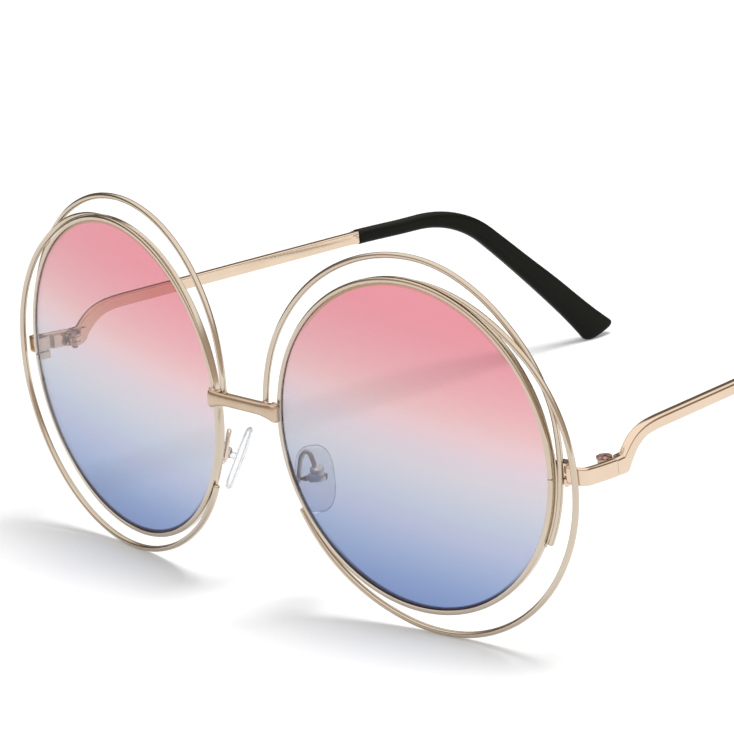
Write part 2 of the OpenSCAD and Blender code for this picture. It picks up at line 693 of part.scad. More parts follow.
// Oval pad with a lug on its back
module nose_pad() {
    rings = [for (level = pad_level_shares) [
        for (k = [0 : pad_sides - 1])
            let (a = -360 * k / pad_sides)
            [pad_mid + level[0] * pad_t,
            level[1] * pad_w / 2 * powered(cos(a), pad_outline_power),
            level[1] * pad_l / 2 * powered(sin(a), pad_outline_power)]]];
    neck_h = neck_share * lug_r;
    color(clear_pad, 0.7) at_pad() difference() {
        union() {
            skin(rings);
            rotate([90, 0, 0]) drum(lug_r, -lug_t / 2, lug_t / 2);
            translate([pad_mid, -lug_t / 2, -neck_h / 2]) cube([-pad_mid, lug_t, neck_h]);
        }
        rotate([90, 0, 0]) drum(pad_screw_d / 2 + running_fit, -lug_t, lug_t);
    }
}

// Bent arm from the back of the rim over a loop to the top of the box
arm_foot_plan = [lens_x, 0] + in_plan(
    [(lip_r + rim_r) / 2 * cos(arm_foot_angle), rim_depth + seat_gap], wrap_angle);
arm_foot = [arm_foot_plan[0], arm_foot_plan[1], (lip_r + rim_r) / 2 * sin(arm_foot_angle)];
lens_back = [-sin(wrap_angle), cos(wrap_angle), 0];
pad_up = [-sin(pad_lean) * cos(pad_turn), sin(pad_lean) * sin(pad_turn), cos(pad_lean)];
pad_side = [cos(pad_lean) * cos(pad_turn), -cos(pad_lean) * sin(pad_turn), sin(pad_lean)];
arm_end = pad_pivot + (box_top + box_roof + seat_gap) * pad_up + (box_back - arm_r) * pad_side;
arm_route = concat(
    [for (s = [0, 1]) arm_foot + s * arm_foot_share * arm_reach * lens_back],
    [for (s = arm_shares) arm_foot + [s[0] * arm_reach, s[1] * arm_reach, s[2] * arm_rise]],
    [for (s = [1, 0]) arm_end + s * arm_d * pad_up]);
arm_curve = smooth(arm_route, arm_steps);
// Both ends of the arm are straight
arm_path = concat([arm_foot],
    [for (i = [arm_steps : len(arm_curve) - 1 - arm_steps]) arm_curve[i]], [arm_end]);
module pad_arm() color(gold) skin(tube_rings(arm_path, [1, 0, 0], equal(arm_path, arm_r), arm_sides));

bridge();
left() rim();  // left_rim
left() lens();  // left_lens
left() upper_wire();  // left_upper_wire
left() lower_wire();  // left_lower_wire
left() upper_block();  // left_upper_block
left() lower_block();  // left_lower_block
left() block_screw();  // left_block_screw
left() end_piece();  // left_end_piece
left() front_leaf();  // left_front_leaf
left() hinge_screw();  // left_hinge_screw
left() temple_leaf();  // left_temple_leaf
left() temple();  // left_temple
left() tip();  // left_tip
left() pad_arm();  // left_pad_arm
left() pad_box();  // left_pad_box
left() pad_screw();  // left_pad_screw
left() nose_pad();  // left_nose_pad
right() rim();  // right_rim
right() lens();  // right_lens
right() upper_wire();  // right_upper_wire
right() lower_wire();  // right_lower_wire
right() upper_block();  // right_upper_block
right() lower_block();  // right_lower_block
right() block_screw();  // right_block_screw
right() end_piece();  // right_end_piece
right() front_leaf();  // right_front_leaf
right() hinge_screw();  // right_hinge_screw
right() temple_leaf();  // right_temple_leaf
right() temple();  // right_temple
right() tip();  // right_tip
right() pad_arm();  // right_pad_arm
right() pad_box();  // right_pad_box
right() pad_screw();  // right_pad_screw
right() nose_pad();  // right_nose_pad
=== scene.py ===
import math

import bpy
import numpy as np
from mathutils import Matrix, Vector


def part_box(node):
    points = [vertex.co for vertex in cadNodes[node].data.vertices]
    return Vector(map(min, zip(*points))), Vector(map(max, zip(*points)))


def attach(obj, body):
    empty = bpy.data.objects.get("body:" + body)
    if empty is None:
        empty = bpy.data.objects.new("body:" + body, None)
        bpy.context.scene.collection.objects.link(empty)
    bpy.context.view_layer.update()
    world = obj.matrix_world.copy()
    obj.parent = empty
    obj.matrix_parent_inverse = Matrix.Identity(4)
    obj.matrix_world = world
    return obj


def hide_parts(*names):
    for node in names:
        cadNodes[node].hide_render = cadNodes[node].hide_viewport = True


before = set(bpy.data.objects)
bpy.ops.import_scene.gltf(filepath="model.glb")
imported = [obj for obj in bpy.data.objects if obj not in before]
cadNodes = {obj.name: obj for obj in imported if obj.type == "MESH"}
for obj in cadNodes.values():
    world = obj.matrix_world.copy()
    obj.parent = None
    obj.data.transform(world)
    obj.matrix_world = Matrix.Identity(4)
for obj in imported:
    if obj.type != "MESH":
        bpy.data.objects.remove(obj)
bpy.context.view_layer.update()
scene = bpy.context.scene
print("frame loaded:", len(cadNodes), "nodes")

# Everything below is in millimetres from the point midway between the lenses, on the front of
# the rims: x to the wearer's left, y back, z up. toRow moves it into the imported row, in metres.
wrap = math.radians(7.1)  # each lens turns back by this
toe = math.radians(6.3)  # each temple runs inwards by this
rimDepth = 1.7
sides = ("left", "right")
rimLow, rimHigh = (np.array(corner) * 1000 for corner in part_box("left_rim"))
rimMiddle = (rimLow + rimHigh) / 2
lensX = rimMiddle[0] + rimDepth / 2 * math.sin(wrap)
rowPlace = np.array([0, rimMiddle[1] - rimDepth / 2 * math.cos(wrap), rimMiddle[2]])


def toRow(points):
    return (points + rowPlace) / 1000


def unit(v):
    v = np.asarray(v, float)
    return v / np.linalg.norm(v, axis=-1, keepdims=True)


def newObject(name, data):
    obj = bpy.data.objects.new(name, data)
    scene.collection.objects.link(obj)
    return obj


# Camera at the photo's angle; the image is 734 by 733 pixels
cameraSet = {
    "azimuth": 48.2,
    "elevation": 17.2,
    "roll": -5.3,
    "distance": 900,
    "across": 19.3,
    "up": 8.3,
    "focalPixels": 4887,
    "imageWidth": 734,
    "sensorWidth": 36,
    "clip": (0.05, 20),  # in metres
}


def makeCamera(size):
    az, el, roll = (math.radians(size[k]) for k in ("azimuth", "elevation", "roll"))
    back = np.array([math.sin(az) * math.cos(el), -math.cos(az) * math.cos(el), math.sin(el)])
    right = np.array([math.cos(az), math.sin(az), 0])
    up = np.cross(back, right)
    camRight = math.cos(roll) * right + math.sin(roll) * up
    camUp = -math.sin(roll) * right + math.cos(roll) * up
    place = toRow(size["across"] * camRight + size["up"] * camUp + size["distance"] * back)
    data = bpy.data.cameras.new("camera")
    data.sensor_width = size["sensorWidth"]
    data.lens = size["focalPixels"] / size["imageWidth"] * size["sensorWidth"]
    data.clip_start, data.clip_end = size["clip"]
    camera = newObject("camera", data)
    camera.matrix_world = Matrix([*zip(camRight, camUp, back, place), (0, 0, 0, 1)])
    scene.camera = camera


makeCamera(cameraSet)
print("camera ready")


# Shader sockets as values: + - * / and powers add Math nodes
class Socket:
    def __init__(self, tree, link):
        self.tree, self.link = tree, link

    def maths(self, operation, first, second):
        return self.tree.add("ShaderNodeMath", {"operation": operation}, {0: first, 1: second})[0]

    def __add__(self, other):
        return self.maths("ADD", self, other)

    def __radd__(self, other):
        return self.maths("ADD", other, self)

    def __sub__(self, other):
        return self.maths("SUBTRACT", self, other)

    def __rsub__(self, other):
        return self.maths("SUBTRACT", other, self)

    def __mul__(self, other):
        return self.maths("MULTIPLY", self, other)

    def __rmul__(self, other):
        return self.maths("MULTIPLY", other, self)

    def __truediv__(self, other):
        return self.maths("DIVIDE", self, other)

    def __rtruediv__(self, other):
        return self.maths("DIVIDE", other, self)

    def __pow__(self, other):
        return self.maths("POWER", self, other)

    def __rpow__(self, other):
        return self.maths("POWER", other, self)

    def larger(self, other):
        return self.maths("MAXIMUM", self, other)


class Tree:
    def __init__(self, owner):
        owner.use_nodes = True
        self.nodes, self.links = owner.node_tree.nodes, owner.node_tree.links
        self.nodes.clear()

    def add(self, kind, settings=None, sockets=None):
        node = self.nodes.new(kind)
        for key, value in (settings or {}).items():
            if key == "stops":
                ramp = node.color_ramp
                while len(ramp.elements) < len(value):
                    ramp.elements.new(0.5)
                for element, (place, colour) in zip(ramp.elements, value):
                    element.position, element.color = place, (*colour, 1)
            else:
                setattr(node, key, value)
        for key, value in (sockets or {}).items():
            if isinstance(value, Socket):
                self.links.new(value.link, node.inputs[key])
            elif isinstance(value, tuple) and len(value) == 3 and node.inputs[key].type == "RGBA":
                node.inputs[key].default_value = (*value, 1)
            else:
                node.inputs[key].default_value = value
        return [Socket(self, out) for out in node.outputs]

    def mixColour(self, share, first, second):
        return self.add("ShaderNodeMix", {"data_type": "RGBA"}, {0: share, 6: first, 7: second})[2]

    def place(self):
        return self.add("ShaderNodeTexCoord")[3]

    def noise(self, scale, detail):
        sockets = {"Vector": self.place(), "Scale": scale, "Detail": detail}
        return self.add("ShaderNodeTexNoise", None, sockets)[0]

    # From 0 at low to 1 at high
    def rise(self, value, low, high, smooth=True):
        settings = {"interpolation_type": "SMOOTHSTEP"} if smooth else None
        sockets = {0: value, "From Min": low, "From Max": high}
        return self.add("ShaderNodeMapRange", settings, sockets)[0]

    def bump(self, height, distance, strength):
        sockets = {"Height": height, "Distance": distance, "Strength": strength}
        return self.add("ShaderNodeBump", None, sockets)[0]

    def rays(self):
        return self.add("ShaderNodeLightPath")[0:7:3]  # camera, glossy and transmission rays

    def surface(self, sockets):
        shader = self.add("ShaderNodeBsdfPrincipled", None, sockets)[0]
        self.add("ShaderNodeOutputMaterial", None, {"Surface": shader})


def newMaterial(name):
    material = bpy.data.materials.new(name)
    return material, Tree(material)


def fromScreen(r, g, b):
    return tuple(c / 255 / 12.92 if c < 10.3 else ((c / 255 + 0.055) / 1.055) ** 2.4
                 for c in (r, g, b))


# In these sets noise is (scale, detail) and a bump is (distance in metres, strength). Bars and
# strips are warmer and brighter than the round wires, and the bridge is satin.
paleGoldSet = {
    "cloud": (180, 4),
    "grain": (2600, 2),
    "bump": (0.000004, 0.5),
    # Screen colour, the same where it is warmer, roughness, and how far the roughness spreads
    "kinds": {
        "bar": ((221, 202, 181), (214, 190, 165), 0.14, 0.08),
        "wire": ((203, 192, 177), (197, 181, 160), 0.15, 0.10),
        "bridge": ((204, 184, 162), (196, 172, 147), 0.32, 0.10),
        # Pad arms: paler than the other metal, a painted highlight that keeps them bright behind
        # the lens
        "padArmPaintedHighlight": ((232, 222, 210), (218, 199, 180), 0.18, 0.08),
        # Pad holders: nearly white, a painted highlight over the holder and its ball
        "padHolder": ((242, 238, 232), (226, 214, 202), 0.34, 0.10),
        # Solder in the closing blocks' corners: real solder, darkened dark brown with painted
        # shade
        "solder": ((176, 132, 110), (110, 66, 50), 0.30, 0.16),
    },
}


def makePaleGold(kind, size):
    material, tree = newMaterial(f"{kind}Gold")
    colour, warm, roughness, spread = size["kinds"][kind]
    cloud, grain = tree.noise(*size["cloud"]), tree.noise(*size["grain"])
    tree.surface({
        "Base Color": tree.mixColour(cloud, fromScreen(*colour), fromScreen(*warm)),
        "Metallic": 1.0,
        "Roughness": cloud * spread + (roughness - spread / 2),
        "Normal": tree.bump(grain, *size["bump"]),
    })
    return material


screwMetalSet = {
    "colour": (226, 200, 186),
    "dull": (112, 82, 74),
    "turning": (1700, 2),
    "turningFrom": (0.36, 0.64),  # noise levels between which the metal turns dull
    "roughness": 0.28,
    "roughnessSpread": 0.2,
    "bump": (0.00006, 0.8),
}


def makeScrewMetal(size):
    material, tree = newMaterial("screwMetal")
    colour, dull = fromScreen(*size["colour"]), fromScreen(*size["dull"])
    turned = tree.rise(tree.noise(*size["turning"]), *size["turningFrom"], smooth=False)
    tree.surface({
        "Base Color": tree.mixColour(turned, colour, dull),
        "Metallic": 1.0,
        "Roughness": turned * size["roughnessSpread"] + size["roughness"],
        "Normal": tree.bump(turned, *size["bump"]),
    })
    return material


# Colour seen through a lens by its height above the middle: rose, pale lilac, then blue
lensTintSet = {
    "seen": [
        (30, (231, 151, 161)), (26, (231, 152, 162)), (22, (230, 157, 166)),
        (18, (230, 165, 173)), (14, (230, 174, 180)), (10, (230, 186, 188)),
        (6, (228, 198, 202)), (2, (218, 203, 212)), (-2, (209, 205, 214)),
        (-6, (199, 202, 214)), (-10, (188, 196, 214)), (-14, (180, 187, 212)),
        (-18, (166, 179, 210)), (-22, (152, 170, 205)), (-26, (140, 160, 202)),
        (-30, (132, 153, 197)),
    ],
    "slant": 0.13,  # the tint climbs by this much per millimetre towards the wearer's left
    "fade": 0.0011,  # and brightens by this much per millimetre
    "level": 0.985,  # from this in the middle
    "reach": 34,  # half height of the tint
    "gloss": 0.035,  # share of the seen colour that is reflection
    "gain": 1.09,
    "edge": (29.9, 30.25),  # radii between which the painted shade at the lens's edge, in the groove, begins
    # Colours of the painted shade at the lens's edge, brown on its upper part and nearly black on
    # its lower
    "paintedShadeTop": (0.34, 0.215, 0.12),
    "paintedShadeLow": (0.014, 0.011, 0.036),
    "paintedShadeTurn": (-8, 12),  # heights between which one colour of the painted shade turns into the other
    "paintedShadeFrom": (15, 27),  # distances above and below the middle between which it shows
    "ior": 1.42,
}


def makeLensTint(name, middleX, size):
    material, tree = newMaterial(name)
    x, z = tree.add("ShaderNodeSeparateXYZ", None, {0: tree.place()})[::2]
    across = (x * 1000 - middleX) / math.cos(wrap)
    height = z * 1000 - float(rowPlace[2])
    share = (height + across * size["slant"]) / (2 * size["reach"]) + 0.5
    stops = [(0.5 + h / size["reach"] / 2,
              tuple((c - size["gloss"]) / size["gain"] for c in fromScreen(*seen)))
             for h, seen in reversed(size["seen"])]
    tint = tree.add("ShaderNodeValToRGB", {"stops": stops}, {0: share})[0]
    tint = tree.add("ShaderNodeVectorMath", {"operation": "SCALE"},
                    {0: tint, "Scale": across * size["fade"] + size["level"]})[0]
    # Painted shade along the lens's edge in the groove under the rim's lip: brown above, nearly
    # black below
    edge = tree.rise((across * across + height * height) ** 0.5, *size["edge"])
    turned = tree.rise(height, *size["paintedShadeTurn"])
    far = tree.rise((height * height) ** 0.5, *size["paintedShadeFrom"])
    paintedShadeColour = tree.mixColour(turned, size["paintedShadeLow"], size["paintedShadeTop"])
    tree.surface({
        "Base Color": tree.mixColour(edge * far, tint, paintedShadeColour),
        "Roughness": 0.0,
        "IOR": size["ior"],
        "Transmission Weight": 1.0,
    })
    return material


blackPlasticSet = {
    "colour": (0.0078, 0.008, 0.0058),
    "paler": 1.5,  # times the colour, in cloudy patches
    "soft": (60, 3),
    "fine": (1800, 3),
    "roughness": 0.24,  # the lowest, to which the two noises add
    "softRoughness": 0.08,
    "fineRoughness": 0.05,
    "gloss": 0.06,
    "bump": (0.000006, 0.35),
}


def makeBlackPlastic(size):
    material, tree = newMaterial("blackPlastic")
    soft, fine = tree.noise(*size["soft"]), tree.noise(*size["fine"])
    grainy = soft * size["softRoughness"] + fine * size["fineRoughness"]
    paler = tuple(c * size["paler"] for c in size["colour"])
    tree.surface({
        "Base Color": tree.mixColour(soft, size["colour"], paler),
        "Roughness": grainy + size["roughness"],
        "Specular IOR Level": size["gloss"],
        "Normal": tree.bump(fine, *size["bump"]),
    })
    return material


clearSiliconeSet = {
    "colour": (0.93, 0.94, 0.95),
    "hazy": (0.80, 0.82, 0.84),
    "haze": (220, 3),
    "roughness": 0.15,
    "roughnessSpread": 0.1,
    "ior": 1.33,
    "bump": (0.00001, 0.3),
}


def makeClearSilicone(size):
    material, tree = newMaterial("clearSilicone")
    haze = tree.noise(*size["haze"])
    tree.surface({
        "Base Color": tree.mixColour(haze, size["colour"], size["hazy"]),
        "Roughness": haze * size["roughnessSpread"] + size["roughness"],
        "IOR": size["ior"],
        "Transmission Weight": 1.0,
        "Normal": tree.bump(haze, *size["bump"]),
    })
    return material


barGold, wireGold, bridgeGold, padArmHighlightGold, padHolderHighlightGold, solderAndPaintedShadeGold = (
    makePaleGold(kind, paleGoldSet) for kind in paleGoldSet["kinds"])
screwMetal = makeScrewMetal(screwMetalSet)
lensTints = {"left": makeLensTint("lensTintLeft", lensX, lensTintSet),
             "right": makeLensTint("lensTintRight", -lensX, lensTintSet)}
blackPlastic = makeBlackPlastic(blackPlasticSet)
clearSilicone = makeClearSilicone(clearSiliconeSet)
print("materials ready")


# Mesh helpers. A part is (points, faces); rings are arrays of stations by sides by three.
def fullTurn(count):
    return np.linspace(0, 2 * math.pi, count, endpoint=False)


def arcAngles(first, last, count):
    return np.radians(np.linspace(first, last, count))


def joined(x, y, z):
    return np.stack(np.broadcast_arrays(x, y, z), -1)


def limited(value):
    return min(max(value, 0), 1)


# Powers under 1 turn a circle's cosine and sine into those of a squarer loop
def powered(values, power):
    return np.sign(values) * np.abs(values) ** power


def smoothRows(rows, steps):
    rows = np.array(rows, float)
    padded = np.vstack([rows[:1], rows, rows[-1:]])
    t = np.arange(steps)[:, None] / steps
    pieces = [
        0.5 * (2 * b + (c - a) * t + (2 * a - 5 * b + 4 * c - d) * t**2
               + (3 * b - a - 3 * c + d) * t**3)
        for a, b, c, d in zip(padded, padded[1:], padded[2:], padded[3:])
    ]
    return np.vstack(pieces + [rows[-1:]])


def skin(rings):
    rings = np.array(rings)
    count, around = rings.shape[:2]
    faces = []
    for start in range(0, (count - 1) * around, around):
        for k in range(around):
            m = start + (k + 1) % around
            faces.append((start + k, m, m + around, start + around + k))
    faces.append(tuple(range(around)))
    faces.append(tuple(range((count - 1) * around, count * around)))
    return rings.reshape(-1, 3), faces


domeAngles = np.radians([20, 40, 60, 78])
blobPole = 84  # degrees


def tube(path, radii, ref, around=24, dome=0.5):
    radii = np.broadcast_to(radii, len(path))
    tangent = unit(np.gradient(path, axis=0))
    side = unit(np.cross(tangent, ref))
    up = np.cross(side, tangent)
    turn = fullTurn(around)[None, :, None]
    circle = np.cos(turn) * side[:, None] + np.sin(turn) * up[:, None]
    rings = list(path[:, None] + radii[:, None, None] * circle)
    for end, way in ((0, -1), (-1, 1)):
        caps = [
            path[end] + way * dome * radii[end] * math.sin(a) * tangent[end]
            + radii[end] * math.cos(a) * circle[end]
            for a in domeAngles
        ]
        rings = caps[::-1] + rings if end == 0 else rings + caps
    return skin(rings)


def roundedBox(width, height, radius, innerRadius=None, steps=4):
    corners = []
    for k, (sx, sy) in enumerate(((1, 1), (-1, 1), (-1, -1), (1, -1))):
        r = radius if sx > 0 or innerRadius is None else innerRadius
        for a in arcAngles(90 * k, 90 * k + 90, steps + 1):
            corners.append((sx * (width / 2 - r) + r * math.cos(a),
                            sy * (height / 2 - r) + r * math.sin(a)))
    return np.array(corners)


def blob(centre, axes, half, count=10, around=18):
    axes = np.array([unit(a) for a in axes])
    turn = fullTurn(around)
    rings = []
    for a in arcAngles(-blobPole, blobPole, count):
        local = joined(half[0] * math.sin(a), half[1] * math.cos(a) * np.cos(turn),
                       half[2] * math.cos(a) * np.sin(turn))
        rings.append(centre + local @ axes)
    return skin(rings)


def turnInto(points, angle, startX, startY):
    p = np.asarray(points, float)
    x = startX + p[..., 0] * math.cos(angle) - p[..., 1] * math.sin(angle)
    y = startY + p[..., 0] * math.sin(angle) + p[..., 1] * math.cos(angle)
    return joined(x, y, p[..., 2])


# Across the lens, depth, height
def fromLens(points):
    return turnInto(points, wrap, lensX, 0)


def addPiece(name, side, parts, material, node=None, body="front",
             sharpAngle=38):
    faces, start = [], 0
    for partPoints, partFaces in parts:
        faces += [tuple(start + k for k in face) for face in partFaces]
        start += len(partPoints)
    points = np.vstack([partPoints for partPoints, _ in parts])
    if side == "right":
        points = points * [-1, 1, 1]
    mesh = bpy.data.meshes.new(name)
    mesh.from_pydata(toRow(points).tolist(), [], faces)
    mesh.validate()
    obj = newObject(name, mesh)
    bpy.context.view_layer.objects.active = obj
    obj.select_set(True)
    bpy.ops.object.mode_set(mode="EDIT")
    bpy.ops.mesh.select_all(action="SELECT")
    bpy.ops.mesh.normals_make_consistent(inside=False)
    bpy.ops.object.mode_set(mode="OBJECT")
    obj.select_set(False)
    mesh.polygons.foreach_set("use_smooth", [True] * len(mesh.polygons))
    mesh.set_sharp_from_angle(angle=math.radians(sharpAngle))
    mesh.materials.append(material)
    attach(obj, body)
    if node:
        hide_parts(node)


# One piece on each side; node and body are named without their side
def addPair(name, parts, material, node=None, body=None, sharpAngle=38):
    for side in sides:
        own = material[side] if isinstance(material, dict) else material
        addPiece(f"{side}{name}", side, parts, own, node and f"{side}_{node}",
                 f"{side}_{body}" if body else "front", sharpAngle)


# Rims: a turned ring with a groove for the lens, cut on the outer side
rimSet = {
    "lip": 30.6,
    "outer": 31.53,
    "floor": 31.03,
    "softening": 0.09,
    "frontRounding": (0.7, 0.33),
    "rounding": 0.318,
    "roundingSteps": (11, 7),
    "groove": (0.48, 0.18),  # half width at the lip and at the floor
    "slit": 0.3,
    "slitDown": 1.45,
    "steps": 240,
}


def makeRims(size):
    lip, outer, floor, soft = (size[k] for k in ("lip", "outer", "floor", "softening"))
    (wide, deep), r = size["frontRounding"], size["rounding"]
    (mouth, narrow), middle = size["groove"], rimDepth / 2
    frontSteps, backSteps = size["roundingSteps"]
    front = [(outer - wide + wide * math.cos(a), deep + deep * math.sin(a))
             for a in arcAngles(-90, 0, frontSteps)]
    back = [(outer - r + r * math.cos(a), rimDepth - r + r * math.sin(a))
            for a in arcAngles(0, 90, backSteps)]
    groove = [(lip, middle + mouth), (floor, middle + narrow), (floor, middle - narrow),
              (lip, middle - mouth)]
    profile = np.array([(lip + soft, 0), *front, *back, (lip + soft, rimDepth),
                        (lip, rimDepth - soft), *groove, (lip, soft)])
    centre = math.asin(-size["slitDown"] / outer)
    half = size["slit"] / 2 / outer
    turn = np.linspace(centre + half, centre - half + 2 * math.pi, size["steps"])[:, None]
    rings = joined(profile[:, 0] * np.cos(turn), profile[:, 1], profile[:, 0] * np.sin(turn))
    addPair("Rim", [skin(fromLens(rings))], wireGold, "rim")


makeRims(rimSet)

# Lenses: a curved shell with a bevelled edge that sits in the groove
lensSet = {
    "edge": 30.57,
    "bevel": 30.97,
    "bevelHalf": (0.42, 0.12),  # half width of the bevel at its foot and at its tip
    "front": 0.25,
    "thickness": 1.2,
    "curve": 230,
    "centre": 0.4,  # radius of the one face in the middle
    "rings": 24,
    "steps": 200,
}


def makeLenses(size):
    edge, curve, tip = size["edge"], size["curve"], size["bevel"]
    sag = math.sqrt(curve**2 - edge**2)
    front = [(r, size["front"] + sag - math.sqrt(curve**2 - r * r))
             for r in np.linspace(size["centre"], edge, size["rings"])]
    back = [(r, d + size["thickness"]) for r, d in front[::-1]]
    middle, (foot, narrow) = rimDepth / 2, size["bevelHalf"]
    bevel = [(edge, middle - foot), (tip, middle - narrow), (tip, middle + narrow),
             (edge, middle + foot)]
    profile = np.array(front + bevel + back)
    turn = fullTurn(size["steps"])
    rings = joined(profile[:, :1] * np.cos(turn), profile[:, 1:], profile[:, :1] * np.sin(turn))
    addPair("Lens", [skin(fromLens(rings))], lensTints, "lens", sharpAngle=25)


makeLenses(lensSet)
print("rims and lenses made")

# Bent wires: angle on the rim, shares of the largest gap, the rim's depth and the thickness
wireSet = {
    "radius": 0.6,
    "seat": 0.03,
    "dome": 0.7,
    "upperGap": 3.1,
    "lowerGap": 4.55,
    "upper": [
        (173.146, 0.68, 0.23, 1), (162, 0.84, 0.5, 1), (150, 0.97, 0.82, 1), (130, 1, 1.3, 1),
        (110, 0.93, 1.65, 1), (90, 0.865, 1.75, 1), (76, 0.8, 1.62, 1), (60, 0.63, 1.43, 1),
        (48, 0.48, 1.35, 1), (34, 0.38, 1.34, 1), (20, 0.28, 1.29, 1), (10, 0.135, 1.17, 1),
        (0, 0.035, 1.05, 1), (-8, 0, 0.97, 1), (-26, 0, 0.97, 1),
    ],
    "lower": [
        (92, 0, 0.42, 0.06), (84, 0, 0.42, 0.24), (76, 0, 0.42, 0.5), (66, 0.01, 0.43, 0.78),
        (50, 0.095, 0.52, 1), (34, 0.38, 0.52, 1),
        (15, 0.71, 0.43, 1), (2, 0.86, 0.37, 1), (-14, 0.98, 0.33, 1), (-30, 1, 0.34, 1),
        (-46, 0.97, 0.39, 1), (-60, 0.89, 0.46, 1), (-75, 0.755, 0.54, 1), (-90, 0.555, 0.56, 1),
        (-105, 0.335, 0.52, 1), (-120, 0.19, 0.46, 1), (-135, 0.1, 0.43, 1), (-150, 0, 0.42, 1),
    ],
    "steps": 10,
    # Solder that fills the valley between the rim and the end of the upper wire: angle, radius
    "seam": [(7, 0.04), (2, 0.2), (-6, 0.3), (-16, 0.3), (-24, 0.26), (-28, 0.06)],
    "seamOut": 0.2,
    "seamShare": 0.72,
    "seamSteps": 6,
    "seamAround": 14,
}


def makeWires(size):
    for kind, gap in (("upper", size["upperGap"]), ("lower", size["lowerGap"])):
        places = smoothRows(size[kind], size["steps"])
        radii = np.minimum(places[:, 3], 1) * size["radius"]
        r = rimSet["outer"] + size["seat"] + radii + np.maximum(places[:, 1], 0) * gap
        a = np.radians(places[:, 0])
        path = joined(r * np.cos(a), places[:, 2] * rimDepth, r * np.sin(a))
        parts = [tube(path, radii, (0, 1, 0), dome=size["dome"])]
        if kind == "upper":
            seam = smoothRows(size["seam"], size["seamSteps"])
            r, a = rimSet["outer"] + size["seamOut"], np.radians(seam[:, 0])
            path = joined(r * np.cos(a), size["seamShare"] * rimDepth, r * np.sin(a))
            parts.append(tube(path, seam[:, 1], (0, 1, 0), size["seamAround"]))
        placed = [(fromLens(points), faces) for points, faces in parts]
        addPair(f"{kind.capitalize()}Wire", placed, wireGold, f"{kind}_wire")


makeWires(wireSet)

# Bridge: a bar with a rounded front, flat behind, wider at its ends
bridgeSet = {
    "half": 9.5,
    "up": 2.8,
    "height": 2.4,
    "depth": 1.6,
    "flare": 1.3,
    "flareStart": 0.4,
    "flareTop": 0.3,
    "endRound": 1.25,
    "endAngles": (12, 24, 36, 48, 60, 70, 79),
    "endKeep": (0.25, 0.5),  # share of the depth and of the height that an end keeps
    "stations": 41,
    # Section from the top over the front to the bottom: share of the depth, share of the height
    "section": [(0, 0.03), (0.3, 0), (0.62, 0.01), (0.8, 0.07), (0.91, 0.18), (0.975, 0.34),
                (1, 0.54), (0.98, 0.7), (0.9, 0.85), (0.74, 0.96), (0.45, 1), (0, 0.98)],
    "sectionSteps": 3,
}


def makeBridge(size):
    back = -math.sin(wrap) * rimSet["outer"] - wireSet["seat"]
    half, up, flareStart = size["half"], size["up"], size["flareStart"]
    section = smoothRows(size["section"], size["sectionSteps"])
    straight, ends = half - size["endRound"], np.radians(size["endAngles"])
    stations = [(straight * s, 0) for s in np.linspace(-1, 1, size["stations"])]
    stations = [(-straight, a) for a in ends[::-1]] + stations + [(straight, a) for a in ends]
    rings = []
    for x, turned in stations:
        x += math.copysign(size["endRound"] * math.sin(turned), x)
        s = max(0, (abs(x) / half - flareStart) / (1 - flareStart)) ** 2
        high = up + size["height"] / 2 + size["flareTop"] * s
        low = up - size["height"] / 2 - size["flare"] * s
        deep, tall = (keep + (1 - keep) * math.cos(turned) for keep in size["endKeep"])
        y = back - size["depth"] * section[:, 0] * deep
        z = (high + low) / 2 + (high - low) * (0.5 - section[:, 1]) * tall
        rings.append(joined(x, y, z))
    addPiece("bridgeBar", "left", [skin(rings)], bridgeGold, "bridge", sharpAngle=60)


makeBridge(bridgeSet)
print("wires and bridge made")

# End pieces: a strip with rounded edges, from the closing block round the corner to the hinge
stripSet = {
    "thickness": 1.3,
    "height": 3.35,
    "bend": 1.6,
    "bendSteps": 13,
    "run": 1.4,
    "down": 0.35,
    "drop": 1.6,
    "hingeBack": 16.2,
    "blockWidth": 2.1,
    "rounding": 0.5,
    "frontShare": 0.4,
    "passGap": 0.12,
    "hingeGap": 0.03,
    "endInset": 0.1,  # both ends are smaller by this on each side
    "endStep": 0.12,
    "straight": (0.08, 0.985, 14),  # first and last share of the straight run, and how many
}


def stripPlan(size):
    along = np.array([math.cos(wrap), math.sin(wrap)])
    behind = np.array([-along[1], along[0]])
    start = rimSet["outer"] + size["blockWidth"] + wireSet["seat"]
    depth = (size["frontShare"] * rimDepth + wireSet["radius"] + 2 * size["passGap"]
             + size["thickness"] / 2)
    first = np.array([lensX, 0]) + start * along + depth * behind
    centre = first + size["run"] * along + size["bend"] * behind
    outward = np.array([math.cos(toe), math.sin(toe)])
    back = np.array([-math.sin(toe), math.cos(toe)])
    face = centre + (size["bend"] + size["thickness"] / 2) * outward
    hingeX = face[0] + (size["hingeBack"] - face[1]) / back[1] * back[0]
    return first, centre, along, outward, back, face, hingeX


stripFirst, stripCentre, lensAlong, outward, templeBack, stripFace, hingeX = stripPlan(stripSet)


def stripMiddle(y):
    start = stripFace[1] - stripSet["bend"] - stripSet["thickness"]
    s = np.clip((y - start) / (stripSet["hingeBack"] - start), 0, 1)
    return -stripSet["down"] - stripSet["drop"] * np.sqrt(s)


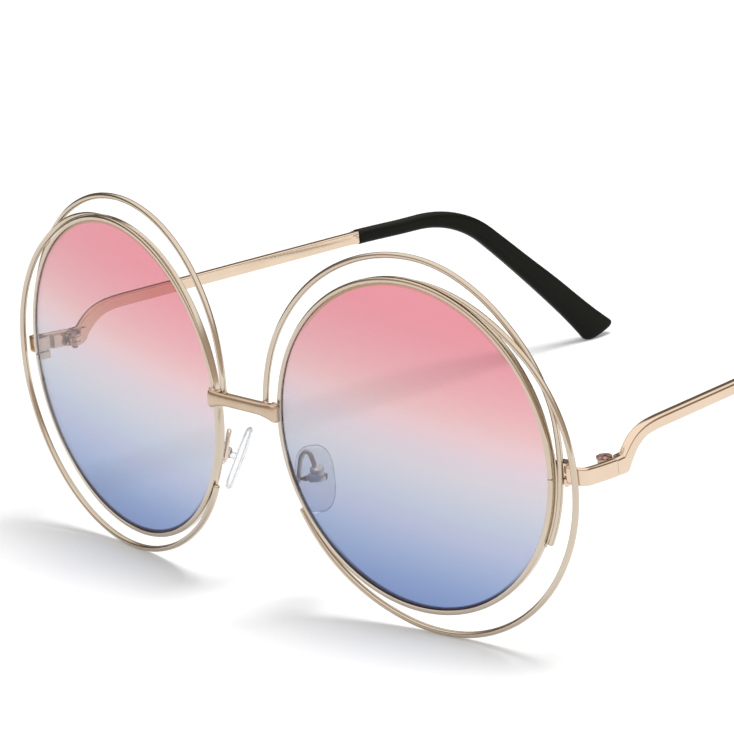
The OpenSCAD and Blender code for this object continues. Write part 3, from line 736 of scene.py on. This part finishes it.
def makeEndPieces(size):
    front, thickness = np.array([lensAlong[1], -lensAlong[0]]), size["thickness"]
    stations = [(stripFirst, front), (stripFirst + size["endStep"] * lensAlong, front)]
    for a in np.linspace(wrap - math.pi / 2, toe, size["bendSteps"]):
        direction = np.array([math.cos(a), math.sin(a)])
        stations.append((stripCentre + size["bend"] * direction, direction))
    end = (np.array([hingeX, size["hingeBack"]]) - size["hingeGap"] * templeBack
           - thickness / 2 * outward)
    last = stations[-1][0]
    stations += [(last + s * (end - last), outward) for s in np.linspace(*size["straight"])]
    stations.append((end, outward))
    rings = []
    for i, (place, normal) in enumerate(stations):
        inset = size["endInset"] if i in (0, len(stations) - 1) else 0
        box = roundedBox(thickness - 2 * inset, size["height"] - 2 * inset, size["rounding"])
        x, y = (place + box[:, :1] * normal).T
        rings.append(joined(x, y, box[:, 1] + stripMiddle(y)))
    addPair("EndPiece", [skin(rings)], barGold, "end_piece")


makeEndPieces(stripSet)


# Outwards from the temple's outer face, back from the joint, height
def fromHinge(points):
    return turnInto(points, toe, hingeX, stripSet["hingeBack"])


# Temples: a tall foot at the hinge that rises to a slim bar, with a collar before the tip
templeSet = {
    "thickness": 1.6,
    "height": 2.0,
    "length": 71.7,
    "rise": 3.75,
    "riseLength": 11.2,
    "riseStart": 2.17,
    "riseEase": 3,
    "slopeEase": 3.4,
    "footLength": 3.1,
    "footDeeper": 0.1,  # share of the strip's height by which the foot's end lies lower
    "footRounding": 0.6,
    "fall": math.radians(1.1),
    "plump": (0.2, 0.3, 0.12),  # what the bar gains past the hinge: inwards, above and below
    "rounding": 0.66,
    "innerRounding": 0.28,
    "frontInset": 0.1,
    "footStations": (0.03, 0.15, 0.6, 1.1, 1.6, 1.9, 2.15, 2.4, 2.6, 2.8, 2.95),
    "riseSteps": 36,
    "barSteps": 16,
    "barFrom": 3,  # the first station of the bar, behind the end of the rise
    "collarLength": 2.6,
    "collarHeight": 2.66,
    "collarThickness": 2.3,
    "collarRounding": 0.7,
    "collarSteps": 3,
    "cornerSteps": 6,
    # Share of the collar's length, and of its size
    "collar": [(-1, 0.72), (-0.97, 0.77), (-0.9, 0.84), (-0.78, 0.91), (-0.62, 0.96), (-0.4, 0.99),
               (-0.1, 1), (0, 1)],
}
hingeZ = -stripSet["down"] - stripSet["drop"]
stripTop, stripLow = hingeZ + stripSet["height"] / 2, hingeZ - stripSet["height"] / 2


def templeEdges(w, size):
    footLength, riseEnd = size["footLength"], size["riseStart"] + size["riseLength"]
    footLow = stripLow - size["footDeeper"] * stripSet["height"]
    lowEnd = stripTop + size["rise"] - size["height"]
    s = limited((w - size["riseStart"]) / size["riseLength"])
    top = stripTop + size["rise"] * (1 - (1 - s) ** size["riseEase"])
    t = min((w - footLength) / (riseEnd - footLength), 1)
    foot = stripLow + (footLow - stripLow) * w / footLength
    low = footLow + (lowEnd - footLow) * (1 - (1 - t) ** size["slopeEase"])
    if w < 2 * footLength:  # the foot's line and the slope meet in a rounded corner
        low = (foot + low + math.hypot(foot - low, size["footRounding"])) / 2
    drop = max(w - riseEnd, 0) * math.tan(size["fall"])
    return top - drop, low - drop


def makeTemples(size):
    foot, riseEnd = size["footLength"], size["riseStart"] + size["riseLength"]
    stations = list(size["footStations"])
    stations += [foot + (riseEnd - foot) * s**2 for s in np.linspace(0, 1, size["riseSteps"])]
    stations += list(np.linspace(riseEnd + size["barFrom"], size["length"], size["barSteps"]))
    rings = []
    for i, w in enumerate(stations):
        inset = size["frontInset"] if i == 0 else 0
        top, low = templeEdges(w, size)
        grown = limited((w - size["riseStart"]) / foot)
        inner, above, below = (grown * extra for extra in size["plump"])
        wide, top, low = size["thickness"] + inner, top + above, low - below
        box = roundedBox(wide - 2 * inset, top - low - 2 * inset, size["rounding"],
                         size["innerRounding"])
        rings.append(joined(box[:, 0] - wide / 2, w, box[:, 1] + (top + low) / 2))
    bar = skin(fromHinge(rings))
    top, low = templeEdges(size["length"], size)
    middle = (top + low) / 2
    rings = []
    for along, share in smoothRows(size["collar"], size["collarSteps"]):
        box = roundedBox(size["collarThickness"] * share, size["collarHeight"] * share,
                         size["collarRounding"] * share, steps=size["cornerSteps"])
        w = size["length"] + along * size["collarLength"]
        rings.append(joined(box[:, 0] - size["thickness"] / 2, w, box[:, 1] + middle))
    collar = skin(fromHinge(rings))
    addPair("Temple", [bar, collar], barGold, "temple", "temple_body")
    return middle


collarZ = makeTemples(templeSet)
print("end pieces and temples made")

# Tips: black plastic that bends down over the ear and widens towards its end. A run is a length
# along the straight part, the bend and the leg.
tipSet = {
    "straight": 15.0,
    "bend": 26,
    "bendAngle": math.radians(43.3),
    "thickness": 3.0,
    "height": 3.0,
    "swell": 0.9,  # the part behind the bend is higher by this, all of it on the upper side
    "swellFrom": 0.8,  # share of the straight part where the swell starts
    "swellTo": 0.5,  # share of the leg where it begins to fade
    "sag": 0.33,  # the bend itself lies lower by this
    "sagTo": (0.5, 0.2),  # the sag fades from this share of the bend to this share of the leg
    "endWidth": 7.0,
    "round": 1.15,
    "skew": math.radians(26.8),
    "grow": 4.0,
    "corner": 0.75,
    "sides": 40,
    "start": 71.13,  # its mouth grips the end of the collar
    "mouth": ((0, 0.9), (0.03, 0.95), (0.1, 0.985)),  # run, and share of the size
    "straightRuns": (0.25, 2, 5, 8, 11),
    "bendSteps": 15,
    "legShares": (0.1, 0.2, 0.3, 0.4, 0.5, 0.6, 0.68, 0.75),
    "skewShares": (0.82, 0.9),  # shares of the leg where the rings turn towards the end
    "endAngles": (0, 12, 24, 36, 48, 60, 70, 78, 85),
    "touchAngles": (0, 30, 60, 85),  # the angles of the end's edge that are tried on the table
    "groove": 0.16,  # its depth, along the inner side
    "grooveHalf": 0.2,  # half its width, as a share of the height
    "grooveFrom": 0.35,  # shares of the tip where it starts, and how long it is
    "grooveLength": 0.45,
}


def smoothStep(value, low, high):
    s = limited((value - low) / (high - low))
    return s * s * (3 - 2 * s)


def makeTips(size):
    fall, straight, bend = templeSet["fall"], size["straight"], size["bend"]
    startZ = collarZ + (templeSet["length"] - size["start"]) * math.tan(fall)
    arc, last = bend * size["bendAngle"], fall + size["bendAngle"]
    knee, halfThick, halfEnd = straight + arc, size["thickness"] / 2, size["endWidth"] / 2
    turn = fullTurn(size["sides"])

    def path(run):
        if run < straight:
            return size["start"] + run * math.cos(fall), startZ - run * math.sin(fall), fall
        a, far = min(fall + (run - straight) / bend, last), max(run - straight - arc, 0)
        w = (size["start"] + straight * math.cos(fall) + bend * (math.sin(a) - math.sin(fall))
             + far * math.cos(last))
        z = (startZ - straight * math.sin(fall) - bend * (math.cos(fall) - math.cos(a))
             - far * math.sin(last))
        return w, z, a

    def swollen(run):
        grown = smoothStep(run, straight * size["swellFrom"], knee)
        left = 1 - smoothStep(run, knee + leg * size["swellTo"], total)
        return size["swell"] / 2 * grown * left

    def place(run):
        w, z, a = path(run)
        bendShare, legShare = size["sagTo"]
        left = 1 - smoothStep(run, straight + arc * bendShare, knee + leg * legShare)
        sag = size["sag"] * smoothStep(run, 0, straight) * left
        return w + swollen(run) * math.sin(a), z + swollen(run) * math.cos(a) - sag, a

    def ring(where, half, thick, skew, groove=0.0):
        c = powered(np.cos(turn), size["corner"]) * half / math.cos(skew)
        s = powered(np.sin(turn), size["corner"]) * thick
        s = s + groove * (np.exp(-((c / (size["grooveHalf"] * half)) ** 2)) * (s < 0))
        w, z, a = where
        return joined(s - templeSet["thickness"] / 2, w + c * math.sin(a + skew),
                      z + c * math.cos(a + skew))

    def roundEnd(where, a):
        out, off = size["round"] * math.sin(a), size["round"] * (1 - math.cos(a))
        w, z, direction = where
        there = (w + out * math.cos(direction), z - out * math.sin(direction), direction)
        thick = halfThick - off * size["thickness"] / size["endWidth"]
        return ring(there, halfEnd - off, thick, size["skew"])

    # The leg is as long as it takes for the end to stand on the table
    tableZ, kneeZ = -rowPlace[2], path(knee)[1]
    lowest = min(roundEnd((0, 0, last), a)[:, 2].min() for a in np.radians(size["touchAngles"]))
    leg = (kneeZ + lowest - tableZ) / math.sin(last)
    total = knee + leg
    wider = (size["endWidth"] - size["height"]) / 2

    def half(run):
        return size["height"] / 2 + swollen(run) + wider * (run / total) ** size["grow"]

    rings = [ring(place(run), half(0) * share, halfThick * share, 0)
             for run, share in size["mouth"]]
    runs = [*size["straightRuns"], *(straight + arc * np.linspace(0, 1, size["bendSteps"])),
            *(knee + leg * np.array(size["legShares"]))]
    for run in runs:
        share = (run / total - size["grooveFrom"]) / size["grooveLength"]
        groove = size["groove"] * max(0, 1 - (2 * share - 1) ** 2)
        rings.append(ring(place(run), half(run), halfThick, 0, groove))
    skewFrom = size["legShares"][-1]
    for s in size["skewShares"]:
        run, skew = knee + leg * s, size["skew"] * (s - skewFrom) / (1 - skewFrom)
        rings.append(ring(place(run), half(run), halfThick, skew))
    rings += [roundEnd(place(total), a) for a in np.radians(size["endAngles"])]
    tip = skin(fromHinge(rings))
    addPair("Tip", [tip], blackPlastic, "tip", "temple_body", 60)


makeTips(tipSet)

# Nose pads. The pad's own frame is at its pivot: x across its thickness, z along its length.
padSet = {
    "pivot": np.array([12.4, 1.1, -10.7]),
    "lean": math.radians(24.8),
    "turn": math.radians(39.7),
    "length": 12.6,
    "width": 7.3,
    "thickness": 1.6,
    "middle": -2.36,
    "corner": 0.74,
    "around": 56,
    # Share of the thickness from the middle, and share of the length and width
    "levels": [(-0.56, 0.05), (-0.555, 0.35), (-0.54, 0.6), (-0.5, 0.8), (-0.42, 0.9),
               (-0.28, 0.96), (-0.1, 0.995), (0.1, 0.995), (0.28, 0.96), (0.42, 0.9),
               (0.49, 0.8), (0.5, 0.6), (0.5, 0.3), (0.5, 0.05)],
    # Lug: an eye on a short neck, its edges rounded
    "neck": [(-1.58, 0.62), (-1.1, 0.5), (-0.55, 0.52)],
    "lugRadius": 0.756,
    "eye": (130, -130, 17),  # first and last angle, and how many points
    "lugThickness": 1.1,
    "lugLevels": [(-0.5, 0.84), (-0.46, 0.94), (-0.36, 1), (0.36, 1), (0.46, 0.94), (0.5, 0.84)],
}


def fromPad(points):
    p, lean = np.asarray(points, float), padSet["lean"]
    x = p[..., 0] * math.cos(lean) - p[..., 2] * math.sin(lean)
    z = p[..., 0] * math.sin(lean) + p[..., 2] * math.cos(lean)
    return turnInto(joined(x, p[..., 1], z), -padSet["turn"], 0, 0) + padSet["pivot"]


def makePads(size):
    turn = fullTurn(size["around"])
    y, z = powered(np.cos(turn), size["corner"]), powered(np.sin(turn), size["corner"])
    rings = [joined(size["middle"] + depth * size["thickness"], share * size["width"] / 2 * y,
                    share * size["length"] / 2 * z) for depth, share in size["levels"]]
    pad = skin(fromPad(rings))
    eye = [(size["lugRadius"] * math.cos(a), size["lugRadius"] * math.sin(a))
           for a in arcAngles(*size["eye"])]
    outline = np.array(size["neck"] + eye + [(x, -z) for x, z in size["neck"][::-1]])
    rings = [joined(outline[:, 0] * share, y * size["lugThickness"], outline[:, 1] * share)
             for y, share in size["lugLevels"]]
    lug = skin(fromPad(rings))
    addPair("NosePad", [pad, lug], clearSilicone, "nose_pad", "pad_body", 50)


makePads(padSet)

# Holder round the lug: an egg with a slot for the lug, and a ball of solder over the arm's end
padHolderSet = {
    "eggCentre": (0.35, 0.2, 0.0),
    "eggHalf": (0.98, 1.86, 1.18),
    "eggSides": 36,
    "eggAngles": (0, 12, 25, 38, 50, 62, 74, 85),
    "slotHalf": 0.64,
    "slotRadius": 0.86,
    "back": (-62, 112, 22),  # the slot's back: first and last angle, and how many points
    "backSlices": 7,
    "overlap": 0.03,
    "ball": ((0.95, 0.4, 1.3), (0.45, -0.4, 0.78), (1.3, 0.48, 1.2)),  # place, facing, half sizes
    "ballRings": (14, 24),
}


def makePadHolders(size):
    middleX, middleY, middleZ = size["eggCentre"]
    halfX, halfY, halfZ = size["eggHalf"]

    def eggRing(y, angles):
        keep = math.sqrt(max(0, 1 - ((y - middleY) / halfY) ** 2))
        return joined(middleX + halfX * keep * np.cos(angles), y,
                      middleZ + halfZ * keep * np.sin(angles))

    whole = fullTurn(size["eggSides"])
    parts = []
    for way in (-1, 1):
        reach = halfY + way * middleY - size["slotHalf"]
        places = size["slotHalf"] + reach * np.sin(np.radians(size["eggAngles"]))
        parts.append(skin(fromPad([eggRing(way * y, whole) for y in places])))
    # Back of the slot, outside the lug's path
    arc = arcAngles(*size["back"])
    inner = size["slotRadius"] * joined(np.cos(arc), 0, np.sin(arc))[::-1]
    reach = size["slotHalf"] + size["overlap"]
    rings = [np.vstack([eggRing(y, arc), inner + [0, y, 0]])
             for y in np.linspace(-reach, reach, size["backSlices"])]
    parts.append(skin(fromPad(rings)))
    centre, face, half = size["ball"]
    level = np.cross(face, (0, 0, 1))
    axes = [level, face, np.cross(level, face)]
    parts.append(blob(fromPad(centre), axes, half, *size["ballRings"]))
    # Its nearly white gold is a painted highlight
    addPair("PadHolder", parts, padHolderHighlightGold, "pad_box", sharpAngle=45)


makePadHolders(padHolderSet)

# Pad screws: a round head on one side, a tapered end on the other, a fine thread between
padScrewSet = {
    "profile": [(-2.9, 0.05), (-2.87, 0.12), (-2.5, 0.28), (-2.1, 0.43), (-1.7, 0.55),
                (-1.45, 0.55), (-1.3, 0.35), (1.8, 0.35), (1.82, 0.56), (1.9, 0.62), (2.1, 0.6),
                (2.22, 0.48), (2.25, 0.1)],
    "step": 0.05,
    "around": 24,
    "pitch": 0.22,
    "thread": 0.03,
    "threadHalf": 1.7,
}


def makePadScrews(size):
    turn = fullTurn(size["around"])
    rows = []
    for (y, r), (nextY, nextR) in zip(size["profile"], size["profile"][1:]):
        count = max(1, round((nextY - y) / size["step"]))
        rows += [(y + (nextY - y) * k / count, r + (nextR - r) * k / count) for k in range(count)]
    rows.append(size["profile"][-1])
    rings = []
    for y, r in rows:
        groove = size["thread"] * np.cos(2 * math.pi * y / size["pitch"] + turn)
        radii = r + groove * (abs(y) < size["threadHalf"])
        rings.append(joined(radii * np.cos(turn), y, radii * np.sin(turn)))
    screw = skin(fromPad(rings))
    addPair("PadScrew", [screw], screwMetal, "pad_screw", sharpAngle=50)


makePadScrews(padScrewSet)

# Pad arms: a wire from the rim, back and round to the holder, with solder at its foot
padArmSet = {
    "radius": 0.45,
    "rise": 4.9,
    "reach": 4.5,
    "footAngle": math.radians(200.5),
    "footShare": 0.12,
    # Places between the foot and the holder: shares of the reach across and back, and of the rise
    "shares": [(-0.05, 0.25, 0.4), (-0.04, 0.38, 0.79), (0.02, 0.55, 1), (0.2, 0.66, 0.93)],
    "boxTop": 1.078,
    "boxRoof": 0.414,
    "boxBack": 1.29,
    "seat": 0.03,
    "steps": 8,
    "around": 20,
    "dome": 0.1,
    "solderOut": 0.1,
    "solderHalf": (0.42, 0.72, 0.66),
}


def makePadArms(size):
    r, angle, reach = (rimSet["lip"] + rimSet["outer"]) / 2, size["footAngle"], size["reach"]
    foot = fromLens([r * math.cos(angle), rimDepth + size["seat"], r * math.sin(angle)])
    away = np.array([-math.sin(wrap), math.cos(wrap), 0])
    back, top = size["boxBack"] - size["radius"], size["boxTop"] + size["boxRoof"] + size["seat"]
    route = [foot + s * size["footShare"] * reach * away for s in (0, 0.5, 1)]
    route += [foot + [a * reach, b * reach, c * size["rise"]] for a, b, c in size["shares"]]
    route += [fromPad([back, 0, top + s * 2 * size["radius"]]) for s in (1, 0.5, 0)]
    arm = tube(smoothRows(route, size["steps"]), size["radius"], (1, 0, 0), size["around"],
               size["dome"])
    axes = [away, (0, 0, 1), np.cross(away, (0, 0, 1))]
    solder = blob(foot + size["solderOut"] * away, axes, size["solderHalf"])
    for side in sides:
        addPiece(f"{side}PadArm", side, [arm], padArmHighlightGold, f"{side}_pad_arm")
        addPiece(f"{side}PadSolder", side, [solder], padArmHighlightGold)


makePadArms(padArmSet)
print("tips, pads and arms made")

# Hinge screws: a flat slotted head on a shank, turned about the hinge's axis
hingeScrewSet = {
    "out": -3.07,
    "low": 2.87,  # depth of the shank's end below the head's seat
    "shank": 0.59,
    "shankEdge": 0.1,
    "head": 1.45,
    "height": 0.66,
    "underEdge": 0.08,
    "edge": 0.16,
    "edgeAngles": range(90, -1, -18),
    "slot": (0.24, 0.3, 0.06),  # half width, depth and the width of a side
    "seat": -0.76,
    "step": 0.06,
    "centre": (0.02, 0.01),  # radius of the last face, below and on top
    "around": 120,
}


def makeHingeScrews(size):
    head, high, edge, under, low, shank, soft = (
        size[k] for k in ("head", "height", "edge", "underEdge", "low", "shank", "shankEdge"))
    (slotHalf, slotDeep, slotSide), (lowCentre, topCentre) = size["slot"], size["centre"]
    rows = [(lowCentre, -low), (shank - soft, -low), (shank, soft - low), (shank, 0),
            (head - under, 0), (head, under)]
    rows += [(head - edge + edge * math.sin(a), high - edge + edge * math.cos(a))
             for a in np.radians(size["edgeAngles"])]
    rows += [(r, high) for r in np.arange(head - edge, 0, -size["step"])] + [(topCentre, high)]
    turn = fullTurn(size["around"])
    rings = []
    for r, z in rows:
        x, y = r * np.cos(turn), r * np.sin(turn)
        cut = np.clip((slotHalf - np.abs(y)) / slotSide, 0, 1) * slotDeep
        lowered = np.minimum(z, high - cut) if z > high - slotDeep else z
        rings.append(joined(x + size["out"], y, lowered + size["seat"]))
    screw = skin(fromHinge(rings))
    addPair("HingeScrew", [screw], screwMetal, "hinge_screw", sharpAngle=40)


makeHingeScrews(hingeScrewSet)

# Solder at the ends of the bridge and in the corners of the closing blocks, where its dark brown
# is partly painted shade
solderSet = {
    # Place, direction of the first half size, half sizes
    "bridge": {
        "left": [((6.5, -4.6, 4.08), (1, 0, 0), (0.8, 0.45, 0.4)),
                 ((8.9, -4.6, 4.2), (1, 0, 0.2), (0.8, 0.5, 0.36))],
        "right": [((7.9, -4.8, 4.2), (1, 0, 0.3), (0.85, 0.42, 0.45)),
                  ((6.5, -4.6, 4.14), (1, 0, -0.3), (0.85, 0.4, 0.42)),
                  ((4.9, -4.5, 4.02), (1, 0, -0.4), (1.0, 0.4, 0.3))],
    },
    # In each lens's own frame: across, depth, height, then half sizes
    "block": [((31.95, 1.75, 0.9), (0.35, 0.3, 0.9)), ((31.9, 1.8, -1.5), (0.35, 0.25, 0.8)),
              ((33.35, 1.85, 0.2), (0.32, 0.22, 0.95)), ((33.3, 1.85, -1.2), (0.3, 0.2, 0.45))],
}


def makeBridgeSolder(size):
    for side, spots in size.items():
        for number, (centre, along, half) in enumerate(spots):
            along = unit(along)
            second = unit(np.cross(along, (0, 1, 0)))
            part = blob(centre, [along, second, np.cross(along, second)], half)
            addPiece(f"{side}BridgeSolder{number + 1}", side, [part], bridgeGold)


def makeBlockSolderAndShade(spots):
    axes = [(0, 0, 1), (1, 0, 0), (0, 1, 0)]
    parts = [blob(fromLens(centre), axes, (half[2], half[0], half[1])) for centre, half in spots]
    addPair("BlockSolderAndShade", parts, solderAndPaintedShadeGold)


makeBridgeSolder(solderSet["bridge"])
makeBlockSolderAndShade(solderSet["block"])

# Small CAD parts keep their own shape, with softened edges
smallPartSet = {
    "kinds": {  # material and width of the softened edge
        "upper_block": (barGold, 0.10),
        "lower_block": (barGold, 0.10),
        "front_leaf": (barGold, 0.07),
        "temple_leaf": (barGold, 0.07),
        "block_screw": (screwMetal, 0.04),
    },
    "weld": 0.002,
    "segments": 3,
    "sharpAngle": 40,
}


def dressSmallParts(size):
    for side in sides:
        for kind, (material, width) in size["kinds"].items():
            node = cadNodes[f"{side}_{kind}"]
            node.data.materials.clear()
            node.data.materials.append(material)
            weld = node.modifiers.new("weld", "WELD")
            weld.merge_threshold = size["weld"] / 1000
            bevel = node.modifiers.new("softEdges", "BEVEL")
            bevel.width = width / 1000
            bevel.segments = size["segments"]
            bevel.limit_method = "ANGLE"
            bevel.angle_limit = math.radians(size["sharpAngle"])


dressSmallParts(smallPartSet)
print("small parts dressed")

# Floor, in metres: pale, and brighter further away, where less of the lamp's light falls
floorSet = {
    "size": 6.0,
    "colour": (0.80, 0.80, 0.80),
    "roughness": 0.9,
    "glow": 0.2,
    "farGlow": 4.5,  # times the glow, so that the floor stays white there
    "farFrom": (0.3, 1.0),  # distances between which it sets in
}


def makeFloor(size):
    half = size["size"] / 2
    mesh = bpy.data.meshes.new("floor")
    corners = [(-half, -half, 0), (half, -half, 0), (half, half, 0), (-half, half, 0)]
    mesh.from_pydata(corners, [], [(0, 1, 2, 3)])
    floor = newObject("floor", mesh)
    material, tree = newMaterial("paleFloor")
    cameraRay, glossyRay, passedRay = tree.rays()
    seen = cameraRay.larger(glossyRay).larger(passedRay)
    reach = tree.add("ShaderNodeVectorMath", {"operation": "LENGTH"}, {0: tree.place()})[1]
    far = tree.rise(reach, *size["farFrom"])
    glow = tree.mixColour(far, (1, 1, 1), (size["farGlow"],) * 3)
    tree.surface({
        "Base Color": size["colour"],
        "Roughness": size["roughness"],
        "Specular IOR Level": 0.0,
        "Emission Color": tree.mixColour(seen, (0, 0, 0), glow),
        "Emission Strength": size["glow"],
    })
    mesh.materials.append(material)


makeFloor(floorSet)

# The studio: a white table, a bright ceiling, and between them a room that only gloss shows, dark
# behind the object and lighter in front
lightSet = {
    "level": 0.45,
    "lampSize": 0.66,
    "lampPlace": (0.21, 0.16, 1.3),  # in metres, and it shines at the object
    "lampPower": 15.0,
    "roomBack": (0.16, 0.13, 0.10),
    "roomFront": (0.64, 0.53, 0.45),
    "front": (0.745, -0.667, 0),  # from the object towards the lighter side of the room
    "frontFrom": (-0.4, 0.4),  # how far a ray has to point that way
    "ceilingColour": (1.32, 1.29, 1.26),
    "ceilingFrom": (0.42, 0.62),  # heights on the unit sphere between which the ceiling begins
}


def makeLights(size):
    world = bpy.data.worlds.new("studio")
    scene.world = world
    tree = Tree(world)
    cameraRay, glossyRay, passedRay = tree.rays()
    direction = tree.add("ShaderNodeTexCoord")[0]
    height = tree.add("ShaderNodeSeparateXYZ", None, {0: direction})[2]
    ceiling = tree.rise(height, *size["ceilingFrom"])
    forward = tree.add("ShaderNodeVectorMath", {"operation": "DOT_PRODUCT"},
                       {0: direction, 1: size["front"]})[1]
    front = tree.rise(forward, *size["frontFrom"], smooth=False)
    room = tree.mixColour(front, size["roomBack"], size["roomFront"])
    mirror = tree.mixColour(ceiling, room, size["ceilingColour"])
    colour = tree.mixColour(glossyRay, (size["level"],) * 3, mirror)
    colour = tree.mixColour(cameraRay.larger(passedRay), colour, (1, 1, 1))
    shader = tree.add("ShaderNodeBackground", None, {"Color": colour})[0]
    tree.add("ShaderNodeOutputWorld", None, {"Surface": shader})
    data = bpy.data.lights.new("softbox", "AREA")
    data.shape, data.size, data.energy = "DISK", size["lampSize"], size["lampPower"]
    lamp = newObject("softbox", data)
    lamp.visible_glossy = False  # metal shows the ceiling instead, so flat tops keep their colour
    lamp.location = size["lampPlace"]
    lamp.rotation_mode = "QUATERNION"
    lamp.rotation_quaternion = Vector(-unit(size["lampPlace"])).to_track_quat("-Z", "Y")


makeLights(lightSet)
scene.view_settings.view_transform = "Standard"
print("floor and light made")
